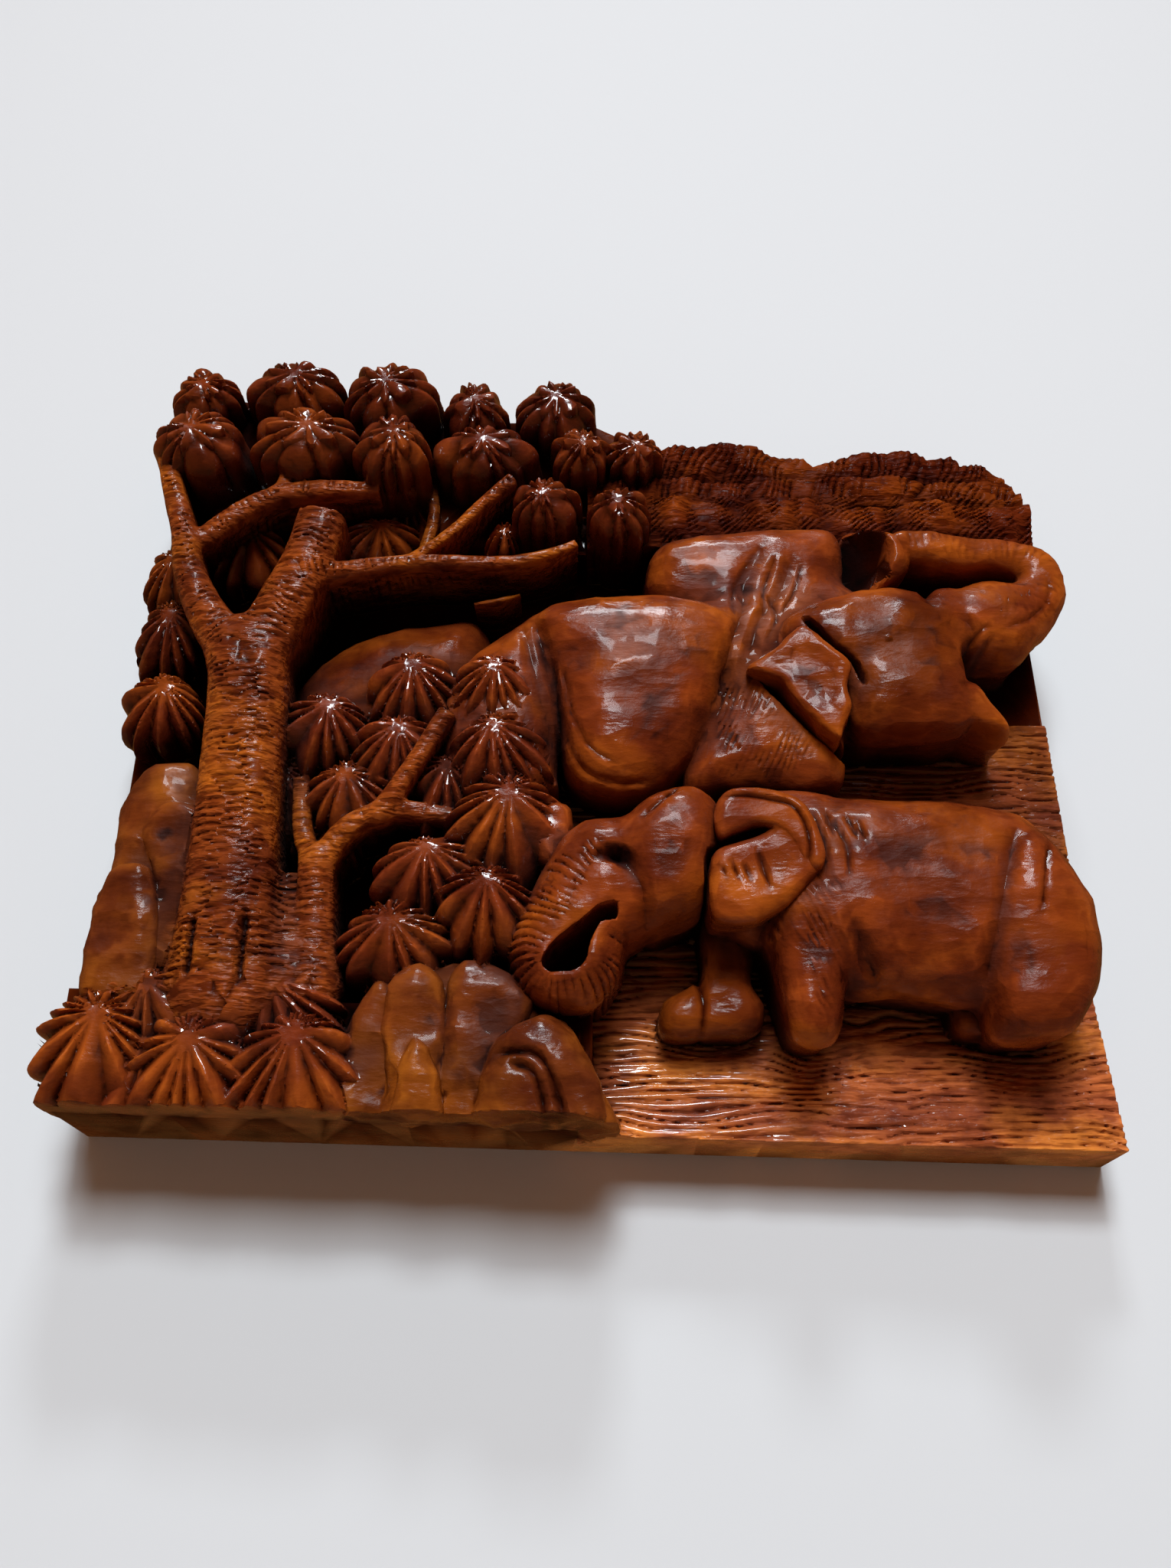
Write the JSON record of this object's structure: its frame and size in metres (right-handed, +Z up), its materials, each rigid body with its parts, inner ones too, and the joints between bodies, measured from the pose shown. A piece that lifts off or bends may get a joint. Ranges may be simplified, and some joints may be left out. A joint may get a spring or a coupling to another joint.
{
  "type": "carved wood wall panel",
  "caption": "Deep relief wall panel of lacquered hardwood: elephants under a spreading tree, with bushes, rocks and grooved ground, on a flat back.",
  "frame": {"origin": "centre of the flat back, in the plane that lies against the wall", "axes": "+X to the viewer's right along the length, +Y out of the flat back into the wall, +Z up; the relief comes out towards -Y"},
  "size_m": [0.309, 0.058, 0.2763],
  "materials": {
    "lacquered_wood": "glossy red-brown lacquer"
  },
  "bodies": {
    "root": {"carved_panel": "lacquered_wood"}
  },
  "joints": []
}
